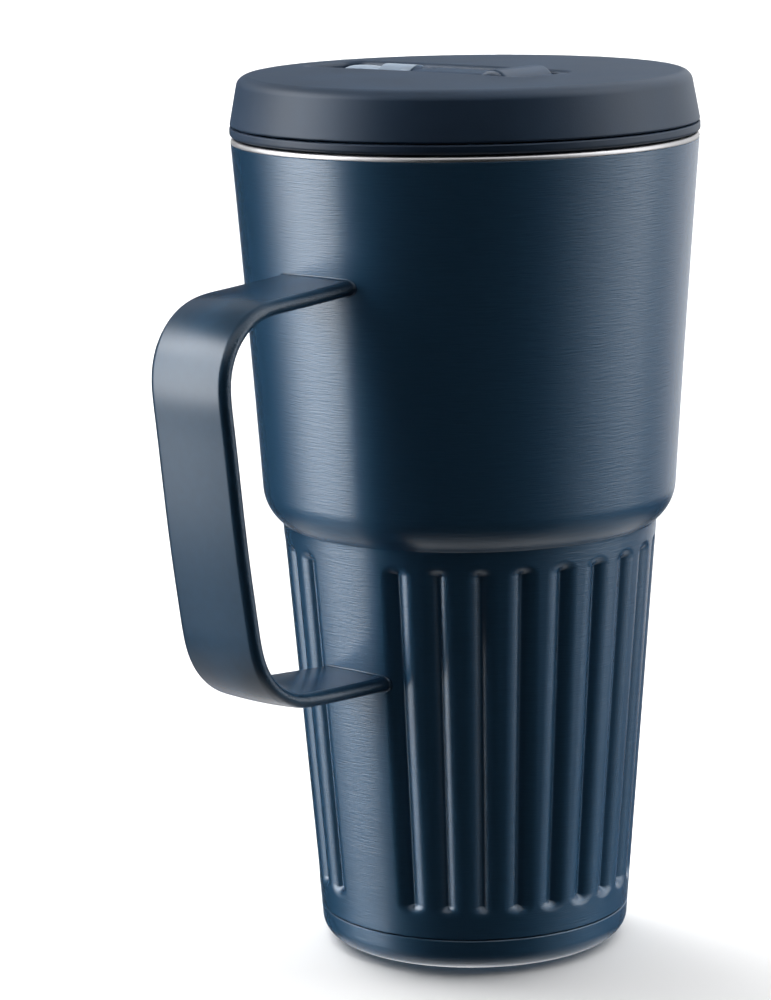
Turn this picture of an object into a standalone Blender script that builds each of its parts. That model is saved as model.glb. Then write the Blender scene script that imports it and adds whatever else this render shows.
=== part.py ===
"""Large insulated travel mug: double-wall steel vessel with a strap handle, and a press-in lid with a flip-up
straw spout. Metres, +Z up. The origin is the centre of the base pad's underside, and the handle points to -X."""

import math

import bmesh
import bpy
from mathutils import Matrix, Vector

MM = 0.001
GAP = 0.3 * MM  # clearance between pieces that touch on the real mug

# Vessel heights, from the surface that the mug stands on
FOOT_Z = 0.8 * MM
SEAM_Z = 9.0 * MM
CREASE_Z = 104.0 * MM
RIM_Z = 196.0 * MM

# Outer wall: a cone below the crease, and above it a rounded step into a slightly flared cone
CREASE_R = 45.0 * MM
LOWER_SLOPE = 0.0789
STEP_ARC_R = 11.0 * MM
UPPER_R = 49.04 * MM
UPPER_SLOPE = 0.0624
UPPER_FLARE = 0.082  # extra radius per metre of height squared
BASE_CORNER_R = 5.0 * MM
OUTER_WALL = 0.6 * MM
INNER_WALL = 0.5 * MM

# Grooves pressed into the lower wall, evenly spaced round it except for a smooth panel behind the handle
GROOVES = 26
PANEL_ANGLE = math.radians(36.4)
GROOVE_R = 3.2 * MM
GROOVE_DEPTH = 1.1 * MM
GROOVE_TOP = 5.2 * MM  # below the crease
GROOVE_FOOT_Z = 15.0 * MM

# Inner vessel
LINER_GAP = 3.4 * MM  # outer surface of the mug to the liner's outer surface, in the upper section
LINER_GAP_LOWER = 4.2 * MM
SEAT_DEPTH = 17.0 * MM  # straight stretch below the rim that the lid's gasket seals against
SEAT_INSET = 2.0 * MM  # outer surface of the mug to the seat's face
LIP_R = 0.95 * MM
FLOOR_Z = 11.0 * MM
LINER_CORNER_R = 9.0 * MM
LINER_STEP_ABOVE = 12.0 * MM  # where the liner's own step starts above the crease and ends below it
LINER_STEP_BELOW = 3.0 * MM
NECK_LENGTH = 6.0 * MM

# Vacuum parts and base
FOIL = 0.15 * MM
GETTER_R = 5.0 * MM
GETTER_THICK = 2.1 * MM
RECESS_R = 28.0 * MM
RECESS_Z = 4.6 * MM
PAD_R = 27.2 * MM
PAD_TOP = 2.3 * MM
PLATE_Z = (2.6 * MM, 3.2 * MM)
EVACUATION_R = 1.5 * MM
BEAD_R = 3.0 * MM

# Strap handle: corners of its middle line as radius and height above the crease, then the bend radii
STRAP_WIDTH = 23.7 * MM
STRAP_THICK = 4.15 * MM
STRAP_EDGE_R = 1.95 * MM
STRAP_UPPER = (95.05 * MM, 58.8 * MM)
STRAP_KNEE = (88.6 * MM, 3.0 * MM)
STRAP_LOWER = (82.8 * MM, -30.2 * MM)
STRAP_UPPER_RISE = 0.064
STRAP_LOWER_DROP = 0.060
STRAP_UPPER_BEND = 16.3 * MM
STRAP_KNEE_R = 480.0 * MM
STRAP_LOWER_BEND = 18.0 * MM
STRAP_ROOT_R = 38.0 * MM

# Lid
FLANGE_R = 55.6 * MM
FLANGE_THICK = 2.2 * MM
SKIRT_R = 51.4 * MM
SKIRT_WALL = 1.8 * MM
PLUG_FLOOR_Z = 183.0 * MM
GASKET_Z = (187.5 * MM, 191.5 * MM)
GASKET_GROOVE = 1.8 * MM
GASKET_LIP_R = 52.5 * MM
COVER_TOP_Z = 211.0 * MM
COVER_TOP_R = 53.4 * MM
COVER_WALL = 2.0 * MM
COVER_EDGE_R = 3.0 * MM
CHANNEL_HALF = 9.5 * MM
CHANNEL_Y = (-26.0 * MM, 44.0 * MM)
CHANNEL_FLOOR_Z = 200.2 * MM
CHANNEL_WALL = 2.0 * MM

# Flip-up spout, folded flat along +Y at rest
HINGE_Y = -16.0 * MM
HINGE_Z = 206.5 * MM
BARREL_R = 5.6 * MM
BARREL_HALF = 8.5 * MM
ARM_HALF = 6.6 * MM
ARM_THICK = 8.4 * MM
ARM_END_Y = 14.0 * MM
SPIGOT_R = 4.6 * MM
SPIGOT_END_Y = 24.0 * MM
MOUTH_END_Y = 36.0 * MM
MOUTH_HALF = (7.2 * MM, 4.2 * MM)
MOUTH_TAPER = 0.92  # its tip's half height as a share of its own
MOUTH_TAPER_LENGTH = 8.0 * MM
MOUTH_TIP_R = 1.4 * MM
MOUTH_BACK_R = 0.6 * MM
BORE_R = 3.4 * MM
PIN_R = 1.5 * MM
PIN_X = (5.4 * MM, 11.2 * MM)

# Straw and its adapter, under the spout's hinge
STRAW_R = 4.5 * MM
STRAW_BORE_R = 3.5 * MM
STRAW_Z = (18.0 * MM, 180.7 * MM)
ADAPTER_R = 5.5 * MM
ADAPTER_Z = (168.0 * MM, 198.1 * MM)
PORT_WALL = 1.8 * MM
PORT_TOP_Z = 196.5 * MM
VENT_Y = 20.0 * MM
VENT_R = 1.6 * MM
VALVE_R = 5.0 * MM
VALVE_THICK = 1.2 * MM
VALVE_EDGE = 0.5 * MM
BULB_R = 2.1 * MM
BULB_HEIGHT = 2.5 * MM

ROUND = 42  # sides of the large turned pieces
SMALL_ROUND = 20


def wall_r(z):
    """Radius of the mug's outer surface at height z, away from the step's arc and the grooves."""
    up = z - CREASE_Z
    if up <= 0:
        return CREASE_R + LOWER_SLOPE * up
    return UPPER_R + UPPER_SLOPE * up + UPPER_FLARE * up * up


def arc(centre, radius, start, end, steps):
    """Points along a circle from angle start to angle end, in degrees, as (r, z)."""
    angles = [math.radians(start + (end - start) * i / steps) for i in range(steps + 1)]
    return [(centre[0] + radius * math.cos(a), centre[1] + radius * math.sin(a)) for a in angles]


def step_arc(offset=0.0, steps=4):
    """The rounded underside of the upper section, from its wall in to the crease, offset inwards."""
    low, high = 0.0, STEP_ARC_R
    for _ in range(40):
        up = (low + high) / 2
        lean = math.atan(UPPER_SLOPE + 2 * UPPER_FLARE * up)
        centre = (
            wall_r(CREASE_Z + up) - STEP_ARC_R * math.cos(lean),
            CREASE_Z + up + STEP_ARC_R * math.sin(lean),
        )
        outside = math.hypot(CREASE_R - centre[0], CREASE_Z - centre[1]) > STEP_ARC_R
        low, high = (low, up) if outside else (up, high)
    end = math.degrees(math.atan2(CREASE_Z - centre[1], CREASE_R - centre[0]))
    return arc(centre, STEP_ARC_R - offset, -math.degrees(lean), end, steps)


def filleted(corners, steps=3):
    """An outline whose corners, each (r, z) or (r, z, fillet radius), are rounded where they say so."""
    points = []
    for i, corner in enumerate(corners):
        here = Vector(corner[:2])
        if len(corner) == 2:
            points.append(tuple(here))
            continue
        back = (Vector(corners[i - 1][:2]) - here).normalized()
        on = (Vector(corners[(i + 1) % len(corners)][:2]) - here).normalized()
        half = back.angle(on) / 2
        start = here + back * corner[2] / math.tan(half)
        end = here + on * corner[2] / math.tan(half)
        centre = here + (back + on).normalized() * corner[2] / math.sin(half)
        for j in range(steps + 1):
            ray = (start - centre).lerp(end - centre, j / steps).normalized()
            points.append(tuple(centre + ray * corner[2]))
    return points


def material(name, colour, roughness, metallic=0.0):
    found = bpy.data.materials.get(name) or bpy.data.materials.new(name)
    found.use_nodes = True
    shader = found.node_tree.nodes["Principled BSDF"]
    shader.inputs["Base Color"].default_value = (*colour, 1.0)
    shader.inputs["Roughness"].default_value = roughness
    shader.inputs["Metallic"].default_value = metallic
    return found


def collection(name):
    made = bpy.data.collections.new(name)
    bpy.context.scene.collection.children.link(made)
    return made


def add(name, mesh, finish=None):
    """An object in the mug's collection, or a hidden cutter where it has no finish."""
    obj = bpy.data.objects.new(name, mesh)
    if finish:
        parts.objects.link(obj)
        mesh.materials.append(finish)
    else:
        cutters.objects.link(obj)
        obj.hide_render = True
        obj.display_type = "WIRE"
    return obj


def turned(name, profile, finish=None, closed=False, steps=ROUND, wall=0.0):
    """A profile of (r, z) points turned about Z. It runs down its outer side; wall thickens it inwards."""
    mesh = bpy.data.meshes.new(name)
    edges = [(i, i + 1) for i in range(len(profile) - 1)]
    if closed:
        edges.append((len(profile) - 1, 0))
    mesh.from_pydata([(r, 0.0, z) for r, z in profile], edges, [])
    obj = add(name, mesh, finish)
    screw = obj.modifiers.new("Turn", "SCREW")
    screw.steps = screw.render_steps = steps
    screw.use_merge_vertices = True
    screw.merge_threshold = 0.00005
    if wall:
        solid = obj.modifiers.new("Wall", "SOLIDIFY")
        solid.thickness = wall
        solid.offset = -1
        solid.use_even_offset = True
    return obj


def rounded_box(name, low, high, edge_r, finish=None, segments=3):
    """A box between two corners with every edge rounded."""
    bm = bmesh.new()
    bmesh.ops.create_cube(bm, size=1.0)
    low, high = Vector(low), Vector(high)
    bmesh.ops.scale(bm, vec=high - low, verts=bm.verts)
    bmesh.ops.translate(bm, vec=(low + high) / 2, verts=bm.verts)
    mesh = bpy.data.meshes.new(name)
    bm.to_mesh(mesh)
    bm.free()
    obj = add(name, mesh, finish)
    bevel = obj.modifiers.new("Round edges", "BEVEL")
    bevel.width = edge_r
    bevel.segments = segments
    return obj


def rod(name, radius, start, end, finish=None, sides=SMALL_ROUND):
    """A cylinder from one point to another."""
    start, end = Vector(start), Vector(end)
    bm = bmesh.new()
    along = (end - start).to_track_quat("Z", "Y").to_matrix().to_4x4()
    place = Matrix.Translation((start + end) / 2) @ along
    bmesh.ops.create_cone(
        bm,
        cap_ends=True,
        segments=sides,
        radius1=radius,
        radius2=radius,
        depth=(end - start).length,
        matrix=place,
    )
    mesh = bpy.data.meshes.new(name)
    bm.to_mesh(mesh)
    bm.free()
    return add(name, mesh, finish)


def boolean(obj, other, operation="DIFFERENCE"):
    cut = obj.modifiers.new(f"{operation.title()} {other.name}", "BOOLEAN")
    cut.operation = operation
    cut.solver = "EXACT"
    cut.object = other


def groove_rods(name, radius):
    """One mesh of round-ended rods lying in the grooves, each sunk GROOVE_DEPTH into the wall at GROOVE_R."""
    sides, cap_steps = 12, 2
    top_z, foot_z = CREASE_Z - GROOVE_TOP, GROOVE_FOOT_Z
    tilt = math.atan(LOWER_SLOPE)
    half = (top_z - foot_z) / 2 / math.cos(tilt) + radius - GROOVE_R
    caps = arc((0.0, half - radius), radius, 90, 0, cap_steps)
    profile = caps + [(r, -z) for r, z in reversed(caps)]
    pitch = (2 * math.pi - PANEL_ANGLE) / (GROOVES - 1)
    centre_r = wall_r((top_z + foot_z) / 2) + GROOVE_R - GROOVE_DEPTH
    bm = bmesh.new()
    for i in range(GROOVES):
        turn = math.pi + PANEL_ANGLE / 2 + pitch * i
        place = (
            Matrix.Rotation(turn, 4, "Z")
            @ Matrix.Translation((centre_r, 0, (top_z + foot_z) / 2))
            @ Matrix.Rotation(tilt, 4, "Y")
        )
        points = [bm.verts.new((r, 0, z)) for r, z in profile]
        edges = [bm.edges.new(pair) for pair in zip(points, points[1:])]
        bmesh.ops.spin(
            bm, geom=points + edges, axis=(0, 0, 1), cent=(0, 0, 0), angle=2 * math.pi, steps=sides
        )
        fresh = [v for v in bm.verts if not v.tag]
        bmesh.ops.remove_doubles(bm, verts=fresh, dist=1e-6)
        fresh = [v for v in bm.verts if not v.tag]
        bmesh.ops.transform(bm, matrix=place, verts=fresh)
        for vertex in fresh:
            vertex.tag = True
    bmesh.ops.recalc_face_normals(bm, faces=bm.faces)
    mesh = bpy.data.meshes.new(name)
    bm.to_mesh(mesh)
    bm.free()
    return add(name, mesh)


def upper_line(offset, rows=3):
    """Points down the upper wall, from the rim to the top of the step's arc, offset inwards."""
    top, bottom = RIM_Z, step_arc()[0][1]
    heights = [top + (bottom - top) * i / rows for i in range(rows)]
    return [(wall_r(z) - offset, z) for z in heights]


def outer_shell(finish):
    top = RIM_Z - LIP_R - GAP
    line = [(wall_r(top), top)] + upper_line(0.0)[1:] + step_arc() + [(wall_r(SEAM_Z), SEAM_Z)]
    shell = turned("outer_shell", [(0.0, top)] + line + [(0.0, SEAM_Z)], finish)
    over, under = RIM_Z + 5 * MM, SEAM_Z - 5 * MM
    hollow_line = [(wall_r(over) - OUTER_WALL, over)] + upper_line(OUTER_WALL)[1:] + step_arc(OUTER_WALL)
    hollow_line.append((wall_r(under) - OUTER_WALL, under))
    hollow = turned("cut_shell_hollow", [(0.0, over)] + hollow_line + [(0.0, under)])
    boolean(hollow, groove_rods("cut_groove_backs", GROOVE_R + OUTER_WALL))
    boolean(shell, groove_rods("cut_grooves", GROOVE_R))
    boolean(shell, hollow)


def outer_base(finish):
    foot_r = wall_r(FOOT_Z)
    top = SEAM_Z - GAP
    line = filleted(
        [
            (wall_r(top), top),
            (foot_r, FOOT_Z, BASE_CORNER_R),
            (RECESS_R, FOOT_Z, 1.0 * MM),
            (RECESS_R, RECESS_Z, 1.0 * MM),
            (EVACUATION_R, RECESS_Z),
        ],
        steps=2,
    )
    turned("outer_base", line, finish, wall=OUTER_WALL)


def liner_line():
    """The liner's inner face, from the curled lip down to the middle of its floor."""
    seat_r = wall_r(RIM_Z) - SEAT_INSET
    lip = arc((seat_r + LIP_R, RIM_Z - LIP_R), LIP_R, 0, 180, 4)
    upper, lower = LINER_GAP + INNER_WALL, LINER_GAP_LOWER + INNER_WALL
    seat_end = RIM_Z - SEAT_DEPTH
    neck_end = seat_end - NECK_LENGTH
    shoulder, waist = CREASE_Z + LINER_STEP_ABOVE, CREASE_Z - LINER_STEP_BELOW
    wall = [
        (wall_r(seat_end) - SEAT_INSET, seat_end),
        (wall_r(neck_end) - upper, neck_end),
        (wall_r((neck_end + shoulder) / 2) - upper, (neck_end + shoulder) / 2),
        (wall_r(shoulder) - upper, shoulder),
        (wall_r(waist) - lower, waist),
        (wall_r(FLOOR_Z) - lower, FLOOR_Z, LINER_CORNER_R),
        (0.0, FLOOR_Z),
    ]
    return lip, wall


def inner_vessel(finish):
    lip, wall = liner_line()
    line = lip + filleted(wall)
    turned("inner_vessel", [(r, z) for r, z in reversed(line)], finish, wall=INNER_WALL)


def radiation_foil(finish):
    clear = GAP + 0.1 * MM
    heights = (RIM_Z - SEAT_DEPTH - 10 * MM, CREASE_Z + 12 * MM, CREASE_Z - 3 * MM, FLOOR_Z + LINER_CORNER_R)
    gaps = (LINER_GAP, LINER_GAP, LINER_GAP_LOWER, LINER_GAP_LOWER)
    line = [(wall_r(z) - gap + clear + FOIL, z) for z, gap in zip(heights, gaps)]
    turned("radiation_foil", line, finish, wall=FOIL)


def vacuum_parts(getter_finish, plug_finish):
    """The getter pellet under the liner's floor, and the bead that closes the hole in the base."""
    high = FLOOR_Z - INNER_WALL - GAP
    low = high - GETTER_THICK
    pellet = [(0, high), (GETTER_R, high), (GETTER_R, low), (0, low)]
    turned("getter", pellet, getter_finish, steps=SMALL_ROUND)
    stem_r, stem_top = EVACUATION_R - GAP, RECESS_Z + OUTER_WALL + GAP
    head_top, head_low = RECESS_Z - GAP, PLATE_Z[1] + GAP
    plug = [
        (0, stem_top),
        (stem_r, stem_top),
        (stem_r, head_top),
        (BEAD_R, head_top),
        (BEAD_R * 0.7, head_low),
        (0, head_low),
    ]
    turned("vacuum_plug", plug, plug_finish, steps=SMALL_ROUND)


def base_cover(plate_finish, pad_finish):
    low, high = PLATE_Z
    turned("base_plate", [(0, high), (PAD_R, high), (PAD_R, low), (0, low)], plate_finish)
    pad = filleted([(0, PAD_TOP), (PAD_R, PAD_TOP), (PAD_R, 0, 0.8 * MM), (0, 0)], steps=2)
    turned("base_pad", pad, pad_finish)


def strap_path():
    """The handle's middle line in the XZ plane, from inside the upper wall round to inside the lower."""
    (upper_r, upper_z), (lower_r, lower_z) = STRAP_UPPER, STRAP_LOWER
    root_upper = upper_z + STRAP_UPPER_RISE * (upper_r - STRAP_ROOT_R)
    root_lower = lower_z - STRAP_LOWER_DROP * (lower_r - STRAP_ROOT_R)
    corners = [
        (STRAP_ROOT_R, root_upper),
        (upper_r, upper_z, STRAP_UPPER_BEND),
        (*STRAP_KNEE, STRAP_KNEE_R),
        (lower_r, lower_z, STRAP_LOWER_BEND),
        (STRAP_ROOT_R, root_lower),
    ]
    return [(-r, CREASE_Z + z) for r, z in filleted(corners, steps=8)]


def handle_strap(finish):
    """A flat strap: a ribbon along the path with its thickness, its edges rounded, its ends cut to the wall."""
    path = strap_path()
    half = STRAP_WIDTH / 2
    bm = bmesh.new()
    rails = [[bm.verts.new((x, side, z)) for x, z in path] for side in (-half, half)]
    for i in range(len(path) - 1):
        bm.faces.new((rails[0][i], rails[0][i + 1], rails[1][i + 1], rails[1][i]))
    mesh = bpy.data.meshes.new("handle_strap")
    bm.to_mesh(mesh)
    bm.free()
    obj = add("handle_strap", mesh, finish)
    solid = obj.modifiers.new("Thickness", "SOLIDIFY")
    solid.thickness = STRAP_THICK
    solid.offset = 0
    solid.use_even_offset = True
    bevel = obj.modifiers.new("Round edges", "BEVEL")
    bevel.width = STRAP_EDGE_R
    bevel.segments = 3
    bevel.limit_method = "ANGLE"
    bevel.angle_limit = math.radians(60)
    line = upper_line(-GAP) + step_arc(-GAP) + [(wall_r(SEAM_Z) + GAP, SEAM_Z)]
    boolean(obj, turned("cut_strap_ends", [(0, RIM_Z)] + line + [(0, SEAM_Z)]))


def lid_base(finish):
    """The lid's plug: a flange on the rim, a skirt with a gasket groove, a floor, and the straw's port."""
    low, high = GASKET_Z
    under = RIM_Z + GAP
    floor_top = PLUG_FLOOR_Z + SKIRT_WALL
    inside = SKIRT_R - GASKET_GROOVE - SKIRT_WALL
    profile = filleted(
        [
            (0, floor_top),
            (inside, floor_top),
            (inside, under + FLANGE_THICK),
            (FLANGE_R, under + FLANGE_THICK),
            (FLANGE_R, under, 0.8 * MM),
            (SKIRT_R, under),
            (SKIRT_R, high),
            (SKIRT_R - GASKET_GROOVE, high),
            (SKIRT_R - GASKET_GROOVE, low),
            (SKIRT_R, low),
            (SKIRT_R, PLUG_FLOOR_Z, 1.5 * MM),
            (0, PLUG_FLOOR_Z),
        ],
        steps=2,
    )
    plug = turned("lid_base", profile, finish)
    bore_r = ADAPTER_R + GAP
    boss_foot = (0, HINGE_Y, PLUG_FLOOR_Z + 0.5 * MM)
    boss = rod("cut_port_boss", bore_r + PORT_WALL, boss_foot, (0, HINGE_Y, PORT_TOP_Z))
    boolean(plug, boss, "UNION")
    through = (PLUG_FLOOR_Z - 5 * MM, PORT_TOP_Z + 5 * MM)
    boolean(plug, rod("cut_port_bore", bore_r, (0, HINGE_Y, through[0]), (0, HINGE_Y, through[1])))
    boolean(plug, rod("cut_vent_hole", VENT_R, (0, VENT_Y, through[0]), (0, VENT_Y, through[1])))


def lid_cover(finish):
    """The lid's top shell, with the channel that the folded spout lies in."""
    low = RIM_Z + GAP + FLANGE_THICK + GAP
    outline = [(0, COVER_TOP_Z), (COVER_TOP_R, COVER_TOP_Z, COVER_EDGE_R), (FLANGE_R, low), (0, low)]
    cover = turned("lid_cover", filleted(outline), finish)
    inner_top = COVER_TOP_Z - COVER_WALL
    inner = [
        (0, inner_top),
        (COVER_TOP_R - COVER_WALL, inner_top, COVER_EDGE_R / 2),
        (FLANGE_R - COVER_WALL, low - 1 * MM),
        (0, low - 1 * MM),
    ]
    hollow = turned("cut_cover_hollow", filleted(inner, steps=2))
    tub_low = (-CHANNEL_HALF - CHANNEL_WALL, CHANNEL_Y[0] - CHANNEL_WALL, low)
    tub_high = (CHANNEL_HALF + CHANNEL_WALL, CHANNEL_Y[1] + CHANNEL_WALL, COVER_TOP_Z + 5 * MM)
    boolean(hollow, rounded_box("cut_tub", tub_low, tub_high, 1.5 * MM, segments=2))
    boolean(cover, hollow)
    channel_low = (-CHANNEL_HALF, CHANNEL_Y[0], CHANNEL_FLOOR_Z)
    channel_high = (CHANNEL_HALF, CHANNEL_Y[1], COVER_TOP_Z + 8 * MM)
    boolean(cover, rounded_box("cut_channel", channel_low, channel_high, 1 * MM))
    bottom, top = low - 2 * MM, CHANNEL_FLOOR_Z + 3 * MM
    boolean(cover, rod("cut_cover_port", ADAPTER_R + GAP, (0, HINGE_Y, bottom), (0, HINGE_Y, top)))
    boolean(cover, rod("cut_cover_vent", VENT_R, (0, VENT_Y, bottom), (0, VENT_Y, top)))
    reach = CHANNEL_HALF + CHANNEL_WALL + 1 * MM
    pin_line = ((-reach, HINGE_Y, HINGE_Z), (reach, HINGE_Y, HINGE_Z))
    boolean(cover, rod("cut_cover_pins", PIN_R + GAP, *pin_line))


def lid_gasket(finish):
    low, high = GASKET_Z[0] + GAP, GASKET_Z[1] - GAP
    back = SKIRT_R - GASKET_GROOVE + GAP
    waist = SKIRT_R + 0.2 * MM
    lip = 0.9 * MM
    profile = [
        (back, high),
        (waist, high),
        (GASKET_LIP_R, high - lip * 0.4),
        (GASKET_LIP_R, high - lip),
        (waist, high - lip * 1.4),
        (waist, low + lip * 1.4),
        (GASKET_LIP_R, low + lip),
        (GASKET_LIP_R, low + lip * 0.4),
        (waist, low),
        (back, low),
    ]
    turned("lid_gasket", profile, finish, closed=True)


def place_at_hinge(obj):
    """Puts a piece turned about Z onto the straw's axis."""
    obj.location.y = HINGE_Y
    return obj


def spout_seal(finish):
    low = ADAPTER_Z[1] + GAP
    ring = [(ADAPTER_R, HINGE_Z), (ADAPTER_R, low), (BORE_R, low), (BORE_R, HINGE_Z)]
    seal = place_at_hinge(turned("spout_seal", ring, finish, closed=True, steps=SMALL_ROUND))
    reach = BARREL_HALF + 2 * MM
    saddle = ((-reach, HINGE_Y, HINGE_Z), (reach, HINGE_Y, HINGE_Z))
    boolean(seal, rod("cut_saddle", BARREL_R + GAP, *saddle, sides=40))
    over = HINGE_Z - ARM_THICK / 2 - GAP
    trim_low = (-20 * MM, HINGE_Y - 20 * MM, over)
    trim_high = (20 * MM, HINGE_Y + 20 * MM, over + 20 * MM)
    boolean(seal, rounded_box("cut_seal_top", trim_low, trim_high, 0.1 * MM, segments=1))


def straw_adapter(finish):
    low, high = ADAPTER_Z
    socket_r, socket_z = STRAW_R + GAP, STRAW_Z[1] + GAP
    collar_r, collar_z = ADAPTER_R + 1.6 * MM, PLUG_FLOOR_Z - GAP
    profile = [
        (ADAPTER_R, high),
        (ADAPTER_R, collar_z),
        (collar_r, collar_z),
        (collar_r, collar_z - 2 * MM),
        (collar_r - 0.6 * MM, low),
        (socket_r, low),
        (socket_r, socket_z),
        (STRAW_BORE_R, socket_z),
        (STRAW_BORE_R, high),
    ]
    place_at_hinge(turned("straw_adapter", profile, finish, closed=True, steps=SMALL_ROUND))


def straw(finish):
    low, high = STRAW_Z
    tube = [(STRAW_R, high), (STRAW_R, low), (STRAW_BORE_R, low), (STRAW_BORE_R, high)]
    place_at_hinge(turned("straw", tube, finish, closed=True, steps=SMALL_ROUND))


def vent_valve(finish):
    """An umbrella valve: a disc under the plug's floor, a stem through it and a bulb that holds it."""
    floor, top = PLUG_FLOOR_Z - GAP, PLUG_FLOOR_Z + SKIRT_WALL + GAP
    stem_r = VENT_R - GAP
    profile = [
        (0, top + BULB_HEIGHT),
        (0.7 * BULB_R, top + 0.88 * BULB_HEIGHT),
        (BULB_R, top),
        (stem_r, top),
        (stem_r, floor),
        (VALVE_R, floor),
        (VALVE_R, floor - VALVE_EDGE),
        (0.4 * VALVE_R, floor - VALVE_THICK),
        (0, floor - VALVE_THICK),
    ]
    valve = turned("vent_valve", profile, finish, steps=SMALL_ROUND)
    valve.location.y = VENT_Y


def spout(finish):
    """A hinge barrel, an arm and a spigot for the mouthpiece, with one straight bore along them."""
    half_thick = ARM_THICK / 2
    ends = (-BARREL_HALF, HINGE_Y, HINGE_Z), (BARREL_HALF, HINGE_Y, HINGE_Z)
    obj = rod("spout", BARREL_R, *ends, finish, sides=28)
    arm_low = (-ARM_HALF, HINGE_Y, HINGE_Z - half_thick)
    arm_high = (ARM_HALF, ARM_END_Y, HINGE_Z + half_thick)
    boolean(obj, rounded_box("cut_arm", arm_low, arm_high, 2.0 * MM), "UNION")
    spigot = ((0, ARM_END_Y - 2 * MM, HINGE_Z), (0, SPIGOT_END_Y, HINGE_Z))
    boolean(obj, rod("cut_spigot", SPIGOT_R, *spigot), "UNION")
    bore = ((0, HINGE_Y - 2 * BARREL_R, HINGE_Z), (0, SPIGOT_END_Y + 5 * MM, HINGE_Z))
    boolean(obj, rod("cut_spout_bore", BORE_R, *bore))
    for side, name in ((-1, "left"), (1, "right")):
        socket = (side * (PIN_X[0] - GAP), HINGE_Y, HINGE_Z), (side * 2 * BARREL_HALF, HINGE_Y, HINGE_Z)
        boolean(obj, rod(f"cut_pin_socket_{name}", PIN_R + GAP, *socket))


def mouthpiece(finish):
    """A soft oval sleeve over the spigot, narrower at its tip."""
    start, end = ARM_END_Y + GAP, MOUTH_END_Y
    half_width, half_height = MOUTH_HALF
    profile = filleted(
        [
            (0, end),
            (half_height * MOUTH_TAPER, end, MOUTH_TIP_R),
            (half_height, end - MOUTH_TAPER_LENGTH),
            (half_height, start, MOUTH_BACK_R),
            (0, start),
        ],
        steps=2,
    )
    obj = turned("mouthpiece", profile, finish, steps=28)
    obj.rotation_euler.x = -math.pi / 2
    obj.location.z = HINGE_Z
    wide = half_width / half_height
    obj.scale.x = wide
    socket = ((0, start - 5 * MM, HINGE_Z), (0, SPIGOT_END_Y + GAP, HINGE_Z))
    boolean(obj, rod("cut_mouth_socket", SPIGOT_R + GAP, *socket))
    bore = ((0, start - 5 * MM, HINGE_Z), (0, end + 5 * MM, HINGE_Z))
    boolean(obj, rod("cut_mouth_bore", BORE_R, *bore))


def hinge_pins(finish):
    for side, name in ((-1, "hinge_pin_left"), (1, "hinge_pin_right")):
        inner, outer = (side * x for x in PIN_X)
        rod(name, PIN_R, (inner, HINGE_Y, HINGE_Z), (outer, HINGE_Y, HINGE_Z), finish, sides=16)


for old in list(bpy.data.objects):
    bpy.data.objects.remove(old, do_unlink=True)

parts = collection("travel_mug")
cutters = collection("cutters")

lacquer = material("navy_lacquer", (0.03, 0.08, 0.17), 0.35, 0.6)
steel = material("bare_steel", (0.62, 0.62, 0.63), 0.3, 1.0)
foil_metal = material("foil", (0.85, 0.85, 0.86), 0.25, 1.0)
glass_bead = material("sealing_glass", (0.35, 0.38, 0.40), 0.2)
getter_metal = material("getter_metal", (0.25, 0.25, 0.26), 0.6, 1.0)
pad_rubber = material("pad_silicone", (0.03, 0.04, 0.06), 0.7)
lid_plastic = material("lid_plastic", (0.02, 0.04, 0.08), 0.45)
cover_plastic = material("cover_plastic", (0.02, 0.04, 0.08), 0.45)
seal_rubber = material("seal_silicone", (0.55, 0.57, 0.60), 0.5)
clear_plastic = material("straw_plastic", (0.75, 0.78, 0.82), 0.2)
mouth_rubber = material("mouth_silicone", (0.20, 0.26, 0.34), 0.5)

outer_shell(lacquer)
outer_base(lacquer)
inner_vessel(steel)
radiation_foil(foil_metal)
vacuum_parts(getter_metal, glass_bead)
base_cover(steel, pad_rubber)
handle_strap(lacquer)
lid_base(lid_plastic)
lid_cover(cover_plastic)
lid_gasket(seal_rubber)
spout_seal(seal_rubber)
straw_adapter(seal_rubber)
straw(clear_plastic)
vent_valve(seal_rubber)
spout(cover_plastic)
mouthpiece(mouth_rubber)
hinge_pins(steel)
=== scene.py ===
"""Looks of the large insulated travel mug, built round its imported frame.

Metres, +Z up. The origin is under the middle of the base pad, and the handle points to -X."""

import math

import bmesh
import bpy
import numpy as np
from mathutils import Matrix, Vector, noise


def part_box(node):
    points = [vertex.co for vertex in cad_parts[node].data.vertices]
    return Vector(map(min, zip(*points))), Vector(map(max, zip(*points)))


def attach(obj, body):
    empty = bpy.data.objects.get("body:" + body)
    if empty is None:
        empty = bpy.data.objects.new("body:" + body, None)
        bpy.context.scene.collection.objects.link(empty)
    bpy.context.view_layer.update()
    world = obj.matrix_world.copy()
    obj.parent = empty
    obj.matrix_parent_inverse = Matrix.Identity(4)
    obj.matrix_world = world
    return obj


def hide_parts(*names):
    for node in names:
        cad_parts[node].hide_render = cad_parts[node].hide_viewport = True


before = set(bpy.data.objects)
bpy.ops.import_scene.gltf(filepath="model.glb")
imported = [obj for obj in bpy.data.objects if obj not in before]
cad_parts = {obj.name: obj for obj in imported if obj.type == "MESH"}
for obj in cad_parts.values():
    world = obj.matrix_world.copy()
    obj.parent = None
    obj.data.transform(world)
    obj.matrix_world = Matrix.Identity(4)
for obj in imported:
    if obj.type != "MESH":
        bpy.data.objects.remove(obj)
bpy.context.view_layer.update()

MM = 0.001
GAP = 0.3 * MM  # clearance between pieces that touch on the real mug

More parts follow.
